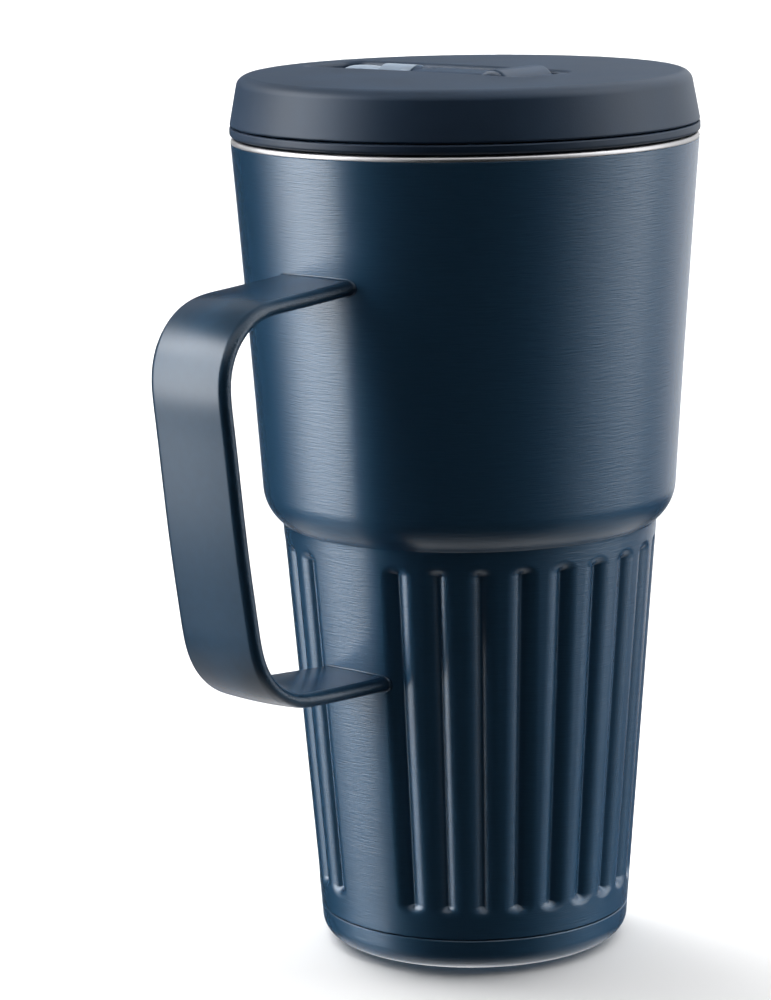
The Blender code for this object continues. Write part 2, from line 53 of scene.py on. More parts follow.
# Heights, from the frame's pieces
FOOT_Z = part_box("outer_base")[0].z
SEAM_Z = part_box("outer_shell")[0].z
RIM_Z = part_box("inner_vessel")[1].z
FLOOR_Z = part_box("inner_vessel")[0].z + 0.5 * MM
FLANGE_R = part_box("lid_base")[1].x
PLUG_FLOOR_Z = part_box("lid_base")[0].z
COVER_LOW_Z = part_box("lid_cover")[0].z
COVER_TOP_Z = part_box("lid_cover")[1].z
HINGE = (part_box("hinge_pin_left")[0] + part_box("hinge_pin_right")[1]) / 2

# Outer wall: a cone below the crease, and above it a rounded step into a slightly flared cone
CREASE_Z = 104.0 * MM
CREASE_R = 45.0 * MM
CREASE_FILLET = 0.5 * MM
LOWER_SLOPE = 0.0789
STEP_ARC_R = 11.0 * MM
UPPER_R = 49.04 * MM
UPPER_SLOPE = 0.0624
UPPER_FLARE = 0.082  # extra radius per metre of height squared
BASE_CORNER_R = 5.0 * MM
OUTER_WALL = 0.6 * MM
SHEET_EDGE = 0.2 * MM  # bevel on a sheet's cut edge

# Liner, with its own step inside the wall's
INNER_WALL = 0.5 * MM
LIP_R = 0.95 * MM
SEAT_INSET = 2.0 * MM
SEAT_DEPTH = 17.0 * MM
NECK_LENGTH = 6.0 * MM
NECK_BEND_R = 4.0 * MM
LINER_GAP = 3.4 * MM
LINER_GAP_LOWER = 4.2 * MM
LINER_STEP_ABOVE = 12.0 * MM
LINER_STEP_BELOW = 3.0 * MM
LINER_STEP_R = 10.0 * MM
LINER_CORNER_R = 9.0 * MM

# Pressed grooves, seen across: two straight flanks, a tight valley and wide soft shoulders
GROOVES = 26
PANEL_ANGLE = math.radians(36.4)
GROOVE_PITCH = (2 * math.pi - PANEL_ANGLE) / (GROOVES - 1)
GROOVE_DEPTH = 1.6 * MM
GROOVE_FLANK = math.radians(36)
VALLEY_R = 0.5 * MM
SHOULDER_R = 5.7 * MM
GROOVE_END_Z = CREASE_Z - 3.3 * MM
GROOVE_FOOT_Z = 14.2 * MM
GROOVE_END_STEEP = 1.5  # how much shorter a groove's ends are than its flanks

# Base recess and pad
RECESS_R = 28.0 * MM
RECESS_Z = 4.6 * MM
HOLE_R = 1.5 * MM
PAD_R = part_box("base_pad")[1].x
PAD_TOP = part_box("base_pad")[1].z
PAD_RINGS = 6
PAD_RING_R = 5.0 * MM
PAD_RING_PITCH = 3.4 * MM
PAD_RING_DEPTH = 0.35 * MM

# Strap handle: corners of its middle line as radius and height above the crease
STRAP_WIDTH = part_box("handle_strap")[1].y * 2
STRAP_THICK = 4.15 * MM
STRAP_EDGE_R = 2.02 * MM
STRAP_CROWN = 0.45 * MM
STRAP_EASE = 4.0 * MM
STRAP_STRAIGHT = 20.0 * MM  # at each root, where nothing is eased
STRAP_UPPER = (95.05 * MM, 58.8 * MM)
STRAP_KNEE = (88.6 * MM, 3.0 * MM)
STRAP_LOWER = (82.8 * MM, -30.2 * MM)
STRAP_UPPER_RISE = 0.064
STRAP_LOWER_DROP = 0.060
STRAP_UPPER_BEND = 16.3 * MM
STRAP_KNEE_R = 480.0 * MM
STRAP_LOWER_BEND = 18.0 * MM
STRAP_ROOT_R = 38.0 * MM
WELD_R = 0.4 * MM
WELD_RIPPLE = 0.25  # share of its radius
WELD_RIPPLES = 900.0  # per metre
LEG_TAPER = 6.0  # how much of its width the lower leg loses, per metre

# Lid
FLANGE_THICK = 2.2 * MM
SKIRT_R = 51.4 * MM
SKIRT_WALL = 1.8 * MM
GASKET_LOW, GASKET_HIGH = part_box("lid_gasket")[0].z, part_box("lid_gasket")[1].z
GASKET_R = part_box("lid_gasket")[1].x
GASKET_GROOVE = 1.8 * MM
COVER_TOP_R = 53.4 * MM
COVER_WALL = 2.0 * MM
COVER_EDGE_R = 3.0 * MM
COVER_CROWN = 0.5 * MM
CHANNEL_HALF = 9.5 * MM
CHANNEL_Y = (-26.0 * MM, 44.0 * MM)
CHANNEL_FLOOR_Z = 200.2 * MM
CHANNEL_WALL = 2.0 * MM
CHANNEL_CORNER_R = 4.0 * MM
CHANNEL_FOOT_R = 1.0 * MM
CHANNEL_RIM_R = 1.2 * MM

# Spout, straw and valve
BARREL_R = 5.6 * MM
BARREL_HALF = 8.5 * MM
ARM_HALF = 6.6 * MM
ARM_THICK = 8.4 * MM
ARM_END_Y = 14.0 * MM
SPIGOT_R = 4.6 * MM
SPIGOT_END_Y = 24.0 * MM
MOUTH_END_Y = 36.0 * MM
BORE_R = 3.4 * MM
PIN_R = 1.5 * MM
PIN_X = (5.4 * MM, 11.2 * MM)
PIN_CHAMFER = 0.25 * MM
STRAW_R = 4.5 * MM
STRAW_BORE_R = 3.5 * MM
STRAW_LOW, STRAW_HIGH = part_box("straw")[0].z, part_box("straw")[1].z
ADAPTER_R = 5.5 * MM
ADAPTER_LOW, ADAPTER_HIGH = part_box("straw_adapter")[0].z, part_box("straw_adapter")[1].z
COLLAR_WIDTH = 1.6 * MM
COLLAR_THICK = 2.0 * MM
PORT_WALL = 1.8 * MM
PORT_TOP_Z = 196.5 * MM
VENT_Y = 20.0 * MM
VENT_R = 1.6 * MM
VALVE_R = 5.0 * MM
VALVE_THICK = 1.2 * MM
VALVE_EDGE = 0.5 * MM
BULB_R = 2.1 * MM
BULB_TIP_R = 1.5 * MM
BULB_HEIGHT = 2.5 * MM

# The spout's sections, in millimetres: the arm's distance from the hinge, inset and corner radius, and the
# mouthpiece's distance from the arm, half width and half height
ARM_SECTIONS = ((0.0, 0.2, 2.4), (10.0, 0.0, 2.4), (27.5, 0.1, 2.4), (29.2, 0.5, 2.2), (30.0, 1.4, 1.8))
MOUTH_SECTIONS = (
    (0.0, 6.7, 4.0), (0.15, 7.0, 4.2), (0.5, 7.2, 4.4), (2.6, 7.2, 4.4), (3.1, 7.0, 4.25), (3.4, 6.7, 4.15),
    (3.9, 6.6, 4.1), (7.0, 6.55, 4.05), (11.0, 6.7, 4.05), (15.0, 7.05, 4.15), (17.5, 7.2, 4.2),
    (19.3, 7.1, 4.15), (20.5, 6.8, 4.05), (21.2, 6.3, 3.9), (21.6, 5.6, 3.75), (21.7, 4.9, 3.65),
)

COLUMNS = 192  # columns of the smooth turned pieces
GROOVE_COLUMNS = 44  # columns of the outer wall for each groove and land
WALL_ROWS = 24  # rows of each long stretch of it
END_ROWS = 26  # rows across each end of the grooves
CHANNEL_STEPS = (11, 34)  # steps across and along the spout's channel
AXIS_FLAT_R = 0.02 * MM
HALVINGS = 40  # steps of each search by halving
FACE_STEPS = 8  # strips across each face of the strap


# Outlines


def arc(centre, radius, start, end, steps):
    """Points along a circle from angle start to angle end, in degrees."""
    angles = [math.radians(start + (end - start) * i / steps) for i in range(steps + 1)]
    return [(centre[0] + radius * math.cos(a), centre[1] + radius * math.sin(a)) for a in angles]


def filleted(*corners, steps=6):
    """An outline whose corners, each (x, y) or (x, y, fillet radius), are rounded where they say so."""
    points = []
    for i, corner in enumerate(corners):
        here = Vector(corner[:2])
        if len(corner) == 2:
            points.append(tuple(here))
            continue
        back = (Vector(corners[i - 1][:2]) - here).normalized()
        on = (Vector(corners[(i + 1) % len(corners)][:2]) - here).normalized()
        half = back.angle(on) / 2
        start = here + back * corner[2] / math.tan(half)
        end = here + on * corner[2] / math.tan(half)
        centre = here + (back + on).normalized() * corner[2] / math.sin(half)
        for j in range(steps + 1):
            ray = (start - centre).lerp(end - centre, j / steps).normalized()
            points.append(tuple(centre + ray * corner[2]))
    return points


def divided(points, longest):
    """The outline with its long straight stretches cut into steps no longer than longest."""
    fine = [points[0]]
    for start, end in zip(points, points[1:]):
        steps = max(1, math.ceil(math.dist(start, end) / longest))
        for i in range(1, steps + 1):
            fine.append(tuple(a + (b - a) * i / steps for a, b in zip(start, end)))
    return fine


def wall_r(z):
    """Radius of the mug's outer surface at height z, away from the step's arc and the grooves."""
    up = z - CREASE_Z
    upper = UPPER_R + UPPER_SLOPE * up + UPPER_FLARE * up * up
    return np.where(up > 0, upper, CREASE_R + LOWER_SLOPE * up) + 0.0


def step_arc(steps=20):
    """The rounded underside of the upper section, from its wall in to the crease."""
    low, high = 0.0, STEP_ARC_R
    for _ in range(HALVINGS):
        up = (low + high) / 2
        lean = math.atan(UPPER_SLOPE + 2 * UPPER_FLARE * up)
        centre = (
            wall_r(CREASE_Z + up) - STEP_ARC_R * math.cos(lean),
            CREASE_Z + up + STEP_ARC_R * math.sin(lean),
        )
        outside = math.hypot(CREASE_R - centre[0], CREASE_Z - centre[1]) > STEP_ARC_R
        low, high = (low, up) if outside else (up, high)
    end = math.degrees(math.atan2(CREASE_Z - centre[1], CREASE_R - centre[0]))
    return arc(centre, STEP_ARC_R, -math.degrees(lean), end, steps)


def flank_profile():
    """(distance from the groove's middle, depth) across half a groove, from its valley to the open wall."""
    valley = arc((0, -GROOVE_DEPTH + VALLEY_R), VALLEY_R, -90, -90 + math.degrees(GROOVE_FLANK), 6)
    rise = (VALLEY_R + SHOULDER_R) * (1 - math.cos(GROOVE_FLANK))
    straight = (GROOVE_DEPTH - rise) / math.sin(GROOVE_FLANK)
    reach = (VALLEY_R + SHOULDER_R) * math.sin(GROOVE_FLANK) + straight * math.cos(GROOVE_FLANK)
    shoulder = arc((reach, -SHOULDER_R), SHOULDER_R, 90 + math.degrees(GROOVE_FLANK), 90, 12)
    return np.array(valley + shoulder)


GROOVE_LINE = flank_profile()
GROOVE_HALF = GROOVE_LINE[-1, 0]


def groove_depth(turn, z):
    """How deep the wall is pressed in at angle turn from the handle and height z."""
    place = np.clip(np.round((turn - PANEL_ANGLE / 2) / GROOVE_PITCH), 0, GROOVES - 1)
    side = wall_r(z) * (turn - PANEL_ANGLE / 2 - GROOVE_PITCH * place)
    end = GROOVE_HALF / GROOVE_END_STEEP
    beyond = np.maximum(z - (GROOVE_END_Z - end), GROOVE_FOOT_Z + end - z)
    away = np.hypot(side, GROOVE_END_STEEP * np.maximum(0, beyond))
    return -np.interp(away, GROOVE_LINE[:, 0], GROOVE_LINE[:, 1])


# Meshes


def new_object(name, vertices, faces):
    """A mesh object with its faces turned outwards."""
    mesh = bpy.data.meshes.new(name)
    mesh.from_pydata([tuple(v) for v in vertices], [], faces)
    bm = bmesh.new()
    bm.from_mesh(mesh)
    bmesh.ops.recalc_face_normals(bm, faces=bm.faces)
    bm.to_mesh(mesh)
    bm.free()
    obj = bpy.data.objects.new(name, mesh)
    bpy.context.scene.collection.objects.link(obj)
    return obj


def loft(name, rings, joined=False):
    """A closed skin over rings of equally many points. The last ring joins the first, or both ends are
    closed."""
    count = len(rings[0])
    vertices = np.concatenate([np.asarray(ring, float) for ring in rings])
    faces = []
    for i in range(len(rings) - (0 if joined else 1)):
        low, high = i * count, (i + 1) % len(rings) * count
        for j in range(count):
            k = (j + 1) % count
            faces.append((low + j, low + k, high + k, high + j))
    if not joined:
        faces.append(tuple(range(count)))
        faces.append(tuple(len(vertices) - 1 - j for j in range(count)))
    return new_object(name, vertices, faces)


def smooth(obj, angle=35.0, weighted=True):
    """Smooth shading that keeps edges sharper than angle, with large faces kept flat."""
    obj.data.shade_smooth()
    obj.data.set_sharp_from_angle(angle=math.radians(angle))
    if weighted:
        obj.modifiers.new("Flat faces", "WEIGHTED_NORMAL").keep_sharp = True
    return obj


def circle(turns, r, z, centre=(0.0, 0.0)):
    """Points at height z round a vertical axis, one at each angle in turns."""
    return np.column_stack([centre[0] + r * np.cos(turns), centre[1] + r * np.sin(turns), turns * 0 + z])


def lathe(name, profile, joined=False, columns=COLUMNS, centre=(0.0, 0.0)):
    """An outline of (radius, z) points turned about a vertical axis, with a tiny flat on the axis."""
    turns = np.linspace(0, 2 * math.pi, columns, endpoint=False)
    rings = [circle(turns, max(r, AXIS_FLAT_R), z, centre) for r, z in profile]
    return smooth(loft(name, rings, joined))


def applied(obj):
    """The object with its modifiers applied."""
    graph = bpy.context.evaluated_depsgraph_get()
    mesh = bpy.data.meshes.new_from_object(obj.evaluated_get(graph))
    old = obj.data
    obj.modifiers.clear()
    obj.data = mesh
    bpy.data.meshes.remove(old)
    return obj


def boolean(obj, other, operation="DIFFERENCE"):
    """Cuts or joins the other object, and removes it."""
    cut = obj.modifiers.new(other.name, "BOOLEAN")
    cut.operation = operation
    cut.solver = "EXACT"
    cut.object = other
    applied(obj)
    bpy.data.objects.remove(other)
    return obj


def rod(name, radius, start, end, sides=64):
    """A cylinder between two points."""
    start, end = Vector(start), Vector(end)
    along = (end - start).to_track_quat("Z", "Y").to_matrix()
    turns = [2 * math.pi * i / sides for i in range(sides)]
    edge = [along @ Vector((radius * math.cos(a), radius * math.sin(a), 0)) for a in turns]
    return loft(name, [[start + p for p in edge], [end + p for p in edge]])


# The vessel


def wall_columns():
    """Angles from the handle round the wall, evenly spaced over the grooves and over the panel."""
    first = PANEL_ANGLE / 2
    grooved = first + GROOVE_PITCH * np.arange((GROOVES - 1) * GROOVE_COLUMNS + 1) / GROOVE_COLUMNS
    panel = np.linspace(grooved[-1], 2 * math.pi + first, 2 * GROOVE_COLUMNS + 1)[1:-1]
    return np.concatenate([grooved, panel]) % (2 * math.pi)


def outer_wall():
    """The pressed outer wall, with its step and grooves, as a sheet with its real thickness."""
    top = RIM_Z - LIP_R - GAP
    arc_points = step_arc()
    foot = (wall_r(SEAM_Z), SEAM_Z)
    upper = [(wall_r(z), z) for z in np.linspace(top - SHEET_EDGE, arc_points[0][1], WALL_ROWS)]
    corner = filleted(arc_points[-3], (CREASE_R, CREASE_Z, CREASE_FILLET), foot, steps=5)[1:-1]
    groove_end = GROOVE_END_Z - GROOVE_HALF
    groove_foot = GROOVE_FOOT_Z + GROOVE_HALF
    heights = np.concatenate([
        np.linspace(corner[-1][1], GROOVE_END_Z, 4)[1:],
        np.linspace(GROOVE_END_Z, groove_end, END_ROWS)[1:],
        np.linspace(groove_end, groove_foot, WALL_ROWS)[1:],
        np.linspace(groove_foot, GROOVE_FOOT_Z, END_ROWS)[1:],
        np.linspace(GROOVE_FOOT_Z, SEAM_Z + SHEET_EDGE, 4)[1:],
    ])
    outer = upper + arc_points[1:-2] + corner + [(wall_r(z), z) for z in heights]
    outer = [(outer[0][0] - SHEET_EDGE, top)] + outer + [(foot[0] - SHEET_EDGE, SEAM_Z)]
    inner = [(r - OUTER_WALL, z) for r, z in outer[1:-1]][::-1]
    turns = wall_columns()
    rings = []
    for r, z in outer + inner:
        press = groove_depth(turns, z) if z < CREASE_Z else 0.0
        rings.append(circle(turns, press - r, z))
    return smooth(loft("outer_wall", rings, joined=True), weighted=False)


def base_cup():
    """The cup that closes the foot of the wall, with its recess and the evacuation hole."""
    top = SEAM_Z - GAP
    outer = filleted(
        (wall_r(top) - SHEET_EDGE, top),
        (wall_r(top), top - SHEET_EDGE),
        (wall_r(FOOT_Z), FOOT_Z, BASE_CORNER_R),
        (RECESS_R, FOOT_Z, 1.0 * MM),
        (RECESS_R, RECESS_Z, 1.0 * MM),
        (HOLE_R, RECESS_Z),
        steps=10,
    )
    over = RECESS_Z + OUTER_WALL
    inner = filleted(
        (HOLE_R, over),
        (RECESS_R + OUTER_WALL, over, 0.5 * MM),
        (RECESS_R + OUTER_WALL, FOOT_Z + OUTER_WALL, 0.5 * MM),
        (wall_r(FOOT_Z) - OUTER_WALL, FOOT_Z + OUTER_WALL, BASE_CORNER_R - OUTER_WALL),
        (wall_r(top) - OUTER_WALL, top),
        steps=8,
    )
    return lathe("base_cup", divided(outer + inner, 4 * MM), joined=True)


def steel_liner():
    """The liner with its curled lip, as a sheet of even thickness."""
    seat_r = wall_r(RIM_Z) - SEAT_INSET
    lip_centre = (seat_r + LIP_R, RIM_Z - LIP_R)
    upper, lower = LINER_GAP + INNER_WALL, LINER_GAP_LOWER + INNER_WALL
    seat_end = RIM_Z - SEAT_DEPTH
    neck_end = seat_end - NECK_LENGTH
    shoulder, waist = CREASE_Z + LINER_STEP_ABOVE, CREASE_Z - LINER_STEP_BELOW
    middle = (neck_end + shoulder) / 2

    def line(offset):
        """The liner's face from its lip down its wall and across its floor, offset outwards."""
        return filleted(
            (seat_r + offset, RIM_Z - LIP_R),
            (wall_r(seat_end) - SEAT_INSET + offset, seat_end, NECK_BEND_R),
            (wall_r(neck_end) - upper + offset, neck_end, NECK_BEND_R),
            (wall_r(middle) - upper + offset, middle),
            (wall_r(shoulder) - upper + offset, shoulder, LINER_STEP_R),
            (wall_r(waist) - lower + offset, waist, LINER_STEP_R),
            (wall_r(FLOOR_Z) - lower + offset, FLOOR_Z - offset, LINER_CORNER_R + offset),
            (0.0, FLOOR_Z - offset),
            steps=8,
        )

    lip = arc(lip_centre, LIP_R, -20, 180, 14)
    back = arc(lip_centre, LIP_R - INNER_WALL, 180, -20, 10)
    inside, outside = line(0.0), line(INNER_WALL)[::-1]
    profile = divided(lip[:-1] + inside, 8 * MM) + divided(outside + back[1:], 8 * MM)
    return lathe("steel_liner", profile, joined=True, columns=256)


def ribbed_pad():
    """The silicone pad, with rings pressed into its underside."""
    ring = ((0.0, 0.0), (0.12, PAD_RING_DEPTH), (0.42, PAD_RING_DEPTH), (0.54, 0.0))
    under = []
    for i in range(PAD_RINGS):
        under += [(PAD_RING_R + PAD_RING_PITCH * (i + share), depth) for share, depth in ring]
    edge = filleted((0, PAD_TOP), (PAD_R, PAD_TOP, 0.3 * MM), (PAD_R, 0, 0.8 * MM), under[-1])
    return lathe("ribbed_pad", divided(edge, 3 * MM) + under[::-1][1:] + [(0, 0)])


# The handle


def strap_path():
    """The handle's middle line in the XZ plane: its upper root, the points between, its lower root."""
    (upper_r, upper_z), (lower_r, lower_z) = STRAP_UPPER, STRAP_LOWER
    corners = [
        (STRAP_ROOT_R, upper_z + STRAP_UPPER_RISE * (upper_r - STRAP_ROOT_R)),
        (upper_r, upper_z, STRAP_UPPER_BEND),
        (*STRAP_KNEE, STRAP_KNEE_R),
        (lower_r, lower_z, STRAP_LOWER_BEND),
        (STRAP_ROOT_R, lower_z - STRAP_LOWER_DROP * (lower_r - STRAP_ROOT_R)),
    ]
    line = np.array([(-r, 0, CREASE_Z + z) for r, z in filleted(*corners, steps=36)])
    first, *path, last = [Vector(p) for p in eased(line, STRAP_EASE)]
    return first, path, last


def eased(path, reach):
    """The path at even steps, with its bends easing in and out over about the given length."""
    along = np.concatenate([[0], np.cumsum(np.linalg.norm(np.diff(path, axis=0), axis=1))])
    step = 1.0 * MM
    even = np.arange(0, along[-1] + step / 2, step)
    points = np.column_stack([np.interp(even, along, path[:, axis]) for axis in range(3)])
    beyond = math.ceil(3 * reach / step)
    weights = np.exp(-0.5 * (np.arange(-beyond, beyond + 1) * step / reach) ** 2)
    weights /= weights.sum()

    def blurred(line):
        before = line[0] - (line[1] - line[0]) * np.arange(beyond, 0, -1)[:, None]
        after = line[-1] + (line[-1] - line[-2]) * np.arange(1, beyond + 1)[:, None]
        longer = np.concatenate([before, line, after])
        return np.column_stack([np.convolve(longer[:, axis], weights, "valid") for axis in range(3)])

    soft = blurred(points)
    eased_line = 2 * soft - blurred(soft)
    kept = (even > STRAP_STRAIGHT) & (even < even[-1] - STRAP_STRAIGHT)
    return np.concatenate([points[:1], eased_line[kept], points[-1:]])


def crowned(across, through):
    """Where a point of the strap's faces lies through its thickness, so that both bulge very slightly."""
    fall = STRAP_CROWN * (2 * across / STRAP_WIDTH) ** 2
    return through * (1 - fall / (STRAP_THICK / 2))


def strap_section():
    """Points round the strap's section as (along its width, through its thickness, outward normal)."""
    half_w, half_t, r = STRAP_WIDTH / 2, STRAP_THICK / 2, STRAP_EDGE_R
    points = []
    for side_w, side_t, start in ((1, 1, 0), (-1, 1, 90), (-1, -1, 180), (1, -1, 270)):
        centre = (side_w * (half_w - r), side_t * (half_t - r))
        for x, y in arc(centre, r, start, start + 90, 10):
            normal = ((x - centre[0]) / r, (y - centre[1]) / r)
            points.append((x, crowned(x, y), normal))
        if start % 180 == 0:
            for k in range(1, FACE_STEPS):
                across = x - side_w * 2 * (half_w - r) * k / FACE_STEPS
                points.append((across, crowned(across, y), (0, side_t)))
    return points


def to_wall(start, along):
    """How far from start, along a direction, the mug's outer wall is."""
    low, high = 0.0, math.hypot(start.x, start.y)
    for _ in range(HALVINGS):
        middle = (low + high) / 2
        p = start + along * middle
        outside = math.hypot(p.x, p.y) > wall_r(p.z)
        low, high = (middle, high) if outside else (low, middle)
    return low


def strap_rings(end, through, leg, taper=0.0):
    """Rings from the end of a bend down a straight leg, with a slightly uneven weld fillet at the wall."""
    section = strap_section()
    starts = [end + Vector((0, w, 0)) + through * t for w, t, _ in section]
    outs = [Vector((0, n[0], 0)) + through * n[1] for _, _, n in section]
    ways = [(leg - Vector((0, w * taper, 0))).normalized() for w, _, _ in section]
    reach = [to_wall(p, along) for p, along in zip(starts, ways)]
    rings = []
    for share in (0.3, 0.6, 0.9):
        rings.append([p + along * (far - WELD_R) * share for p, along, far in zip(starts, ways, reach)])
    for angle in np.radians(np.linspace(0, 90, 9)):
        ring = []
        for p, out, along in zip(starts, outs, ways):
            seat = p + out * WELD_R
            ripple = 1 + WELD_RIPPLE * noise.noise((seat + along * to_wall(seat, along)) * WELD_RIPPLES)
            r = WELD_R * ripple
            q = p + out * r * (1 - math.cos(angle))
            ring.append(q + along * (to_wall(q, along) - r * (1 - math.sin(angle))))
        rings.append(ring)
    ends = zip(starts, outs, ways, reach)
    sunk = [p + out * WELD_R * 0.8 + along * (far + 2 * OUTER_WALL) for p, out, along, far in ends]
    return rings + [sunk]


def strap_handle():
    """The strap bent from one flat bar, swept along its path, with both legs welded to the wall."""
    first, path, last = strap_path()
    section = strap_section()
    across = Vector((0, 1, 0))
    middle = []
    for i, p in enumerate(path):
        ahead = path[i + 1] if i + 1 < len(path) else last
        behind = path[i - 1] if i else first
        tangent = (ahead - p).normalized() + (p - behind).normalized()
        through = across.cross(tangent).normalized()
        middle.append([p + across * w + through * t for w, t, _ in section])
    upper_along = (first - path[0]).normalized()
    lower_along = (last - path[-1]).normalized()
    upper = strap_rings(path[0], across.cross(-upper_along), upper_along)
    lower = strap_rings(path[-1], across.cross(lower_along), lower_along, LEG_TAPER)
    return smooth(loft("strap_handle", upper[::-1] + middle + lower), angle=50)


# The lid


def lid_plug():
    """The plug: flange, skirt with a gasket groove, floor, the straw's port and the vent hole."""
    low, high = GASKET_LOW - GAP, GASKET_HIGH + GAP
    under = RIM_Z + GAP
    floor_top = PLUG_FLOOR_Z + SKIRT_WALL
    back = SKIRT_R - GASKET_GROOVE
    inside = back - SKIRT_WALL
    small = 0.4 * MM
    outline = filleted(
        (0, floor_top),
        (inside, floor_top, 1.2 * MM),
        (inside, under + FLANGE_THICK, small),
        (FLANGE_R, under + FLANGE_THICK, small),
        (FLANGE_R, under, 0.8 * MM),
        (SKIRT_R, under, small),
        (SKIRT_R, high, small),
        (back, high, small),
        (back, low, small),
        (SKIRT_R, low, small),
        (SKIRT_R, PLUG_FLOOR_Z, 1.5 * MM),
        (0, PLUG_FLOOR_Z),
    )
    plug = lathe("lid_plug", divided(outline, 6 * MM))
    bore_r, boss_r = ADAPTER_R + GAP, ADAPTER_R + GAP + PORT_WALL
    foot = (PLUG_FLOOR_Z + floor_top) / 2
    boss = filleted((0, PORT_TOP_Z), (boss_r, PORT_TOP_Z, small), (boss_r, foot), (0, foot))
    boolean(plug, lathe("boss", boss, columns=64, centre=(0, HINGE.y)), "UNION")
    hole = filleted(
        (0, PORT_TOP_Z + MM),
        (bore_r, PORT_TOP_Z + MM),
        (bore_r, PLUG_FLOOR_Z + small),
        (bore_r + 2 * small, PLUG_FLOOR_Z - small),
        (0, PLUG_FLOOR_Z - small),
    )
    boolean(plug, lathe("port", hole, columns=64, centre=(0, HINGE.y)))
    vent = ((0, VENT_Y, PLUG_FLOOR_Z - MM), (0, VENT_Y, floor_top + MM))
    boolean(plug, rod("vent", VENT_R, *vent, sides=32))
    return smooth(plug)


def channel_outline(offset):
    """Points round the spout's channel, seen from above, offset outwards."""
    half, r = CHANNEL_HALF + offset, CHANNEL_CORNER_R + offset
    low, high = CHANNEL_Y[0] - offset, CHANNEL_Y[1] + offset
    centres = [(half - r, high - r), (r - half, high - r), (r - half, low + r), (half - r, low + r)]
    bends = [arc(centre, r, 90 * i, 90 * i + 90, 9) for i, centre in enumerate(centres)]
    outline = []
    for i, bend in enumerate(bends):
        to = bends[(i + 1) % 4][0]
        steps = CHANNEL_STEPS[i % 2]
        run = [tuple(a + (b - a) * k / steps for a, b in zip(bend[-1], to)) for k in range(1, steps)]
        outline += bend + run
    return np.array(outline)


def cover_shell():
    """The lid's top shell. Rings run from the channel's floor up and out over the crown, down the side, and
    back inside to the underside of the channel."""
    opening = channel_outline(0)
    turns = np.arctan2(opening[:, 1], opening[:, 0])
    bottom, top = CHANNEL_FLOOR_Z, COVER_TOP_Z

    def level(offset, z):
        points = channel_outline(offset)
        return np.column_stack([points, np.full(len(points), z)])

    def crowned_over(ring):
        fall = COVER_CROWN * (np.hypot(ring[:, 0], ring[:, 1]) / COVER_TOP_R) ** 2
        ring[:, 2] = top - fall
        return ring

    rings = [level(-CHANNEL_FOOT_R, bottom)]
    foot = arc((-CHANNEL_FOOT_R, bottom + CHANNEL_FOOT_R), CHANNEL_FOOT_R, -90, 0, 5)
    rings += [level(r, z) for r, z in foot[1:]]
    for angle in np.radians(np.linspace(180, 90, 8)):
        ring = crowned_over(level(CHANNEL_RIM_R * (1 + math.cos(angle)), 0))
        ring[:, 2] -= CHANNEL_RIM_R * (1 - math.sin(angle))
        rings.append(ring)
    edge, within = top - COVER_CROWN, COVER_TOP_R - 8 * MM
    outside = filleted(
        (within, edge),
        (COVER_TOP_R, edge, COVER_EDGE_R),
        (FLANGE_R, COVER_LOW_Z, 0.5 * MM),
        (FLANGE_R - COVER_WALL, COVER_LOW_Z, 0.3 * MM),
        (COVER_TOP_R - COVER_WALL, top - COVER_WALL, 1.5 * MM),
        (within, top - COVER_WALL),
        steps=8,
    )[1:-1]
    outside = divided(outside, 3 * MM)
    last, first_circle = rings[-1], circle(turns, *outside[0])
    for share in np.linspace(0, 1, 9)[1:-1]:
        rings.append(crowned_over(last * (1 - share) + first_circle * share))
    rings += [circle(turns, r, z) for r, z in outside]
    rings += [level(CHANNEL_WALL, top - COVER_WALL), level(CHANNEL_WALL, COVER_LOW_Z)]
    shell = loft("cover_shell", rings)
    under, over = COVER_LOW_Z - 2 * MM, bottom + 3 * MM
    small = 0.3 * MM
    for name, r, y in (("port", ADAPTER_R + GAP, HINGE.y), ("vent", VENT_R, VENT_Y)):
        wide = r + 2 * small
        hole = [(0, over), (wide, over), (wide, bottom + small), (r, bottom - small)]
        hole += [(r, under), (0, under)]
        boolean(shell, lathe(name, hole, columns=64, centre=(0, y)))
    reach = CHANNEL_HALF + CHANNEL_WALL + MM
    pin_line = ((-reach, HINGE.y, HINGE.z), (reach, HINGE.y, HINGE.z))
    boolean(shell, rod("pins", PIN_R + GAP, *pin_line, sides=32))
    return smooth(shell)


def gasket_ring():
    """The silicone gasket: a band in the plug's groove with two soft lips."""
    back = SKIRT_R - GASKET_GROOVE + GAP
    waist, lip = SKIRT_R + 0.2 * MM, 0.9 * MM
    small = 0.2 * MM
    profile = filleted(
        (back, GASKET_HIGH, small),
        (waist, GASKET_HIGH, small),
        (GASKET_R, GASKET_HIGH - lip * 0.4, small),
        (GASKET_R, GASKET_HIGH - lip, small),
        (waist, GASKET_HIGH - lip * 1.4, small),
        (waist, GASKET_LOW + lip * 1.4, small),
        (GASKET_R, GASKET_LOW + lip, small),
        (GASKET_R, GASKET_LOW + lip * 0.4, small),
        (waist, GASKET_LOW, small),
        (back, GASKET_LOW, small),
        steps=4,
    )
    return lathe("gasket_ring", profile, joined=True, columns=256)


